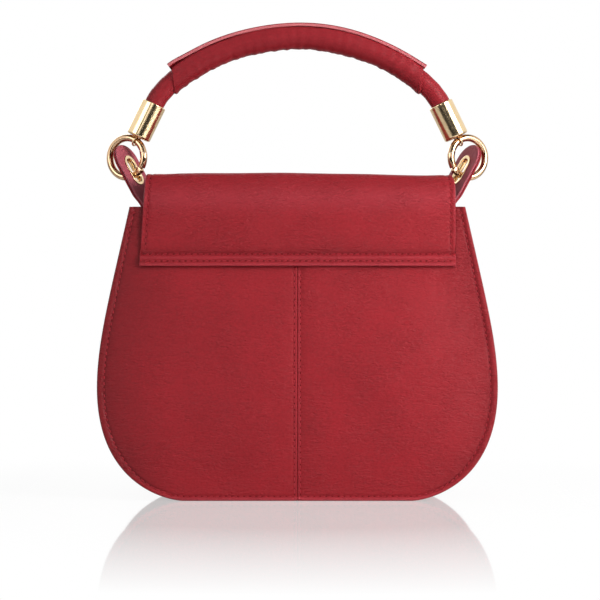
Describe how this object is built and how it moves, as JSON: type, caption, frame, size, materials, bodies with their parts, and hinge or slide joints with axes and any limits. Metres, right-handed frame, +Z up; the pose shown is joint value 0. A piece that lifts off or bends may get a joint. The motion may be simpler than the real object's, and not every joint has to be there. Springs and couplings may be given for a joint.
{
  "type": "handbag",
  "caption": "Half-moon leather handbag with a fold-over flap and a rigid arched top handle held by spring-gate rings on leather side tabs.",
  "frame": {"origin": "middle of the base of the closed bag's box, on the surface it stands on", "axes": "+X across the bag to its right seen from the back, +Y to its front, +Z up"},
  "size_m": [0.2414, 0.0928, 0.2928],
  "materials": {
    "leather": "semi-matte, fine grain",
    "raw_edge": "matte, pale cut edge",
    "lining": "matte weave",
    "gold": "polished",
    "steel": "plain",
    "board": "matte",
    "cord": "matte"
  },
  "bodies": {
    "bag": {"back_panel_left": "leather", "back_panel_right": "leather", "back_seam_tape": "lining", "front_panel": "leather", "gusset": "leather", "base_board": "board", "lining_back": "lining", "lining_front": "lining", "lining_gusset": "lining", "snap_socket": "gold", "snap_washer": "steel", "flap_back": "leather", "tab_outer_left": "leather", "tab_inner_left": "leather", "eyelet_left": "gold", "tab_outer_right": "leather", "tab_inner_right": "leather", "eyelet_right": "gold"},
    "rings": {"ring_left": "gold", "gate_pin_left": "gold", "ring_right": "gold", "gate_pin_right": "gold"},
    "handle": {"handle_core": "cord", "handle_cover": "leather", "grip_wrap": "leather", "grip_strip": "raw_edge", "ferrule_left": "gold", "eye_left": "gold", "ferrule_right": "gold", "eye_right": "gold"},
    "left_gate": {"gate_left": "gold"},
    "right_gate": {"gate_right": "gold"},
    "flap_bridge": {"flap_bridge": "leather", "flap_bridge_lining": "lining"},
    "flap_front": {"flap_front": "leather", "flap_front_lining": "lining", "snap_stud": "gold"}
  },
  "joints": [
    {"name": "ring_swing", "type": "hinge", "parent": "bag", "child": "rings", "pos_m": [0, -0.00231, 0.19801], "axis": [1, 0, 0], "range_deg": [-30, 65]},
    {"name": "handle_tilt", "type": "hinge", "parent": "rings", "child": "handle", "pos_m": [0, -0.00307, 0.21918], "axis": [1, 0, 0], "range_deg": [-20, 35]},
    {"name": "left_gate_open", "type": "hinge", "parent": "rings", "child": "left_gate", "pos_m": [-0.09774, -0.00409, 0.2009], "axis": [-0.454, -0.891, 0], "range_deg": [0, 28], "stiffness_Nm_per_rad": 0.02, "springref_deg": -17.19},
    {"name": "right_gate_open", "type": "hinge", "parent": "rings", "child": "right_gate", "pos_m": [0.09774, -0.00409, 0.2009], "axis": [-0.454, 0.891, 0], "range_deg": [0, 28], "stiffness_Nm_per_rad": 0.02, "springref_deg": -17.19},
    {"name": "flap_lift", "type": "hinge", "parent": "bag", "child": "flap_bridge", "pos_m": [0, -0.02627, 0.1978], "axis": [1, 0, 0], "range_deg": [0, 40]},
    {"name": "flap_open", "type": "hinge", "parent": "flap_bridge", "child": "flap_front", "pos_m": [0, 0.02524, 0.1978], "axis": [1, 0, 0], "range_deg": [0, 120]}
  ],
  "couplings": [
    {"joint": "flap_lift", "follows": "flap_open", "ratio": 0.3333}
  ]
}
